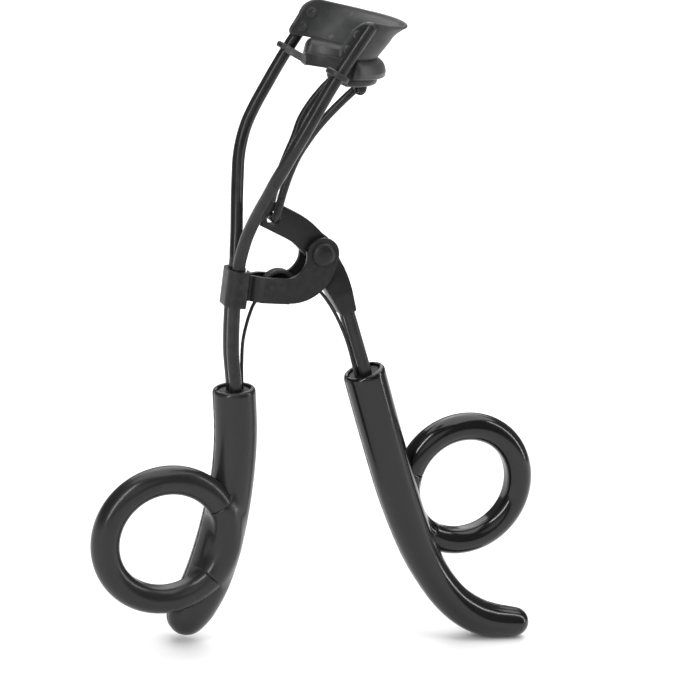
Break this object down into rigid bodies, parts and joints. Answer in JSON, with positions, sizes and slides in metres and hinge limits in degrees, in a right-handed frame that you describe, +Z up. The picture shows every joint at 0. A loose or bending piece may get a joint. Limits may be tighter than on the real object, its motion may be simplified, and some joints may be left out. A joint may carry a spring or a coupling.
{
  "type": "eyelash curler",
  "caption": "Eyelash curler: curved upper jaw on bent frame wires, a padded lower jaw slid up by push wires from a riveted lever, and two handles with finger rings.",
  "frame": {"origin": "middle of the ground area under the two handle tips, on the surface that they stand on", "axes": "+X from the thumb handle to the finger handle, +Y along the hinge rivet away from the viewer, +Z up from the handle tips to the jaws"},
  "size_m": [0.0916, 0.0318, 0.1204],
  "materials": {
    "coated_wire": "satin black coating on round steel wire",
    "coated_plate": "matte black coating on folded steel sheet",
    "coated_jaw": "matte black coating on steel sheet, slightly grey",
    "spring_wire": "black spring wire, satin",
    "thumb_plastic": "moulded black plastic, satin gloss",
    "finger_plastic": "moulded black plastic, glossy",
    "plug_plastic": "matte black plastic",
    "pad_silicone": "soft black silicone, matte"
  },
  "bodies": {
    "frame": {"frame_wire_near": "coated_wire", "frame_wire_far": "coated_wire", "upper_jaw": "coated_jaw", "jaw_rivets": "coated_jaw", "hinge_bracket": "coated_plate", "pivot_rivet": "coated_plate", "return_spring": "spring_wire", "thumb_handle_front": "thumb_plastic", "thumb_handle_rear": "thumb_plastic", "thumb_handle_plug": "plug_plastic", "thumb_ring_core": "thumb_plastic", "thumb_ring_sleeve": "thumb_plastic"},
    "lever": {"lever_plate": "coated_plate", "lever_wire_near": "coated_wire", "lever_wire_far": "coated_wire", "finger_handle_front": "finger_plastic", "finger_handle_rear": "finger_plastic", "finger_handle_plug": "plug_plastic", "finger_ring_core": "finger_plastic", "finger_ring_sleeve": "finger_plastic"},
    "jaw": {"lower_jaw": "coated_jaw", "lash_pad": "pad_silicone"},
    "yoke": {"push_wire_near": "coated_wire", "push_wire_far": "coated_wire"}
  },
  "joints": [
    {"name": "lever_swing", "type": "hinge", "parent": "frame", "child": "lever", "pos_m": [-0.0087, 0, 0.0758], "axis": [0, -1, 0], "range_deg": [0, 34], "deforming": ["return_spring"]},
    {"name": "jaw_slide", "type": "slide", "parent": "frame", "child": "jaw", "axis": [-0.3987, 0, -0.9171], "range_m": [0, 0.0068]},
    {"name": "yoke_turn", "type": "hinge", "parent": "jaw", "child": "yoke", "pos_m": [-0.0078, 0, 0.1072], "axis": [0, -1, 0], "range_deg": [0, 1.8]}
  ],
  "couplings": [
    {"joint": "jaw_slide", "follows": "lever_swing", "m_per_rad": 0.011311},
    {"joint": "yoke_turn", "follows": "lever_swing", "ratio": 0.0484}
  ]
}
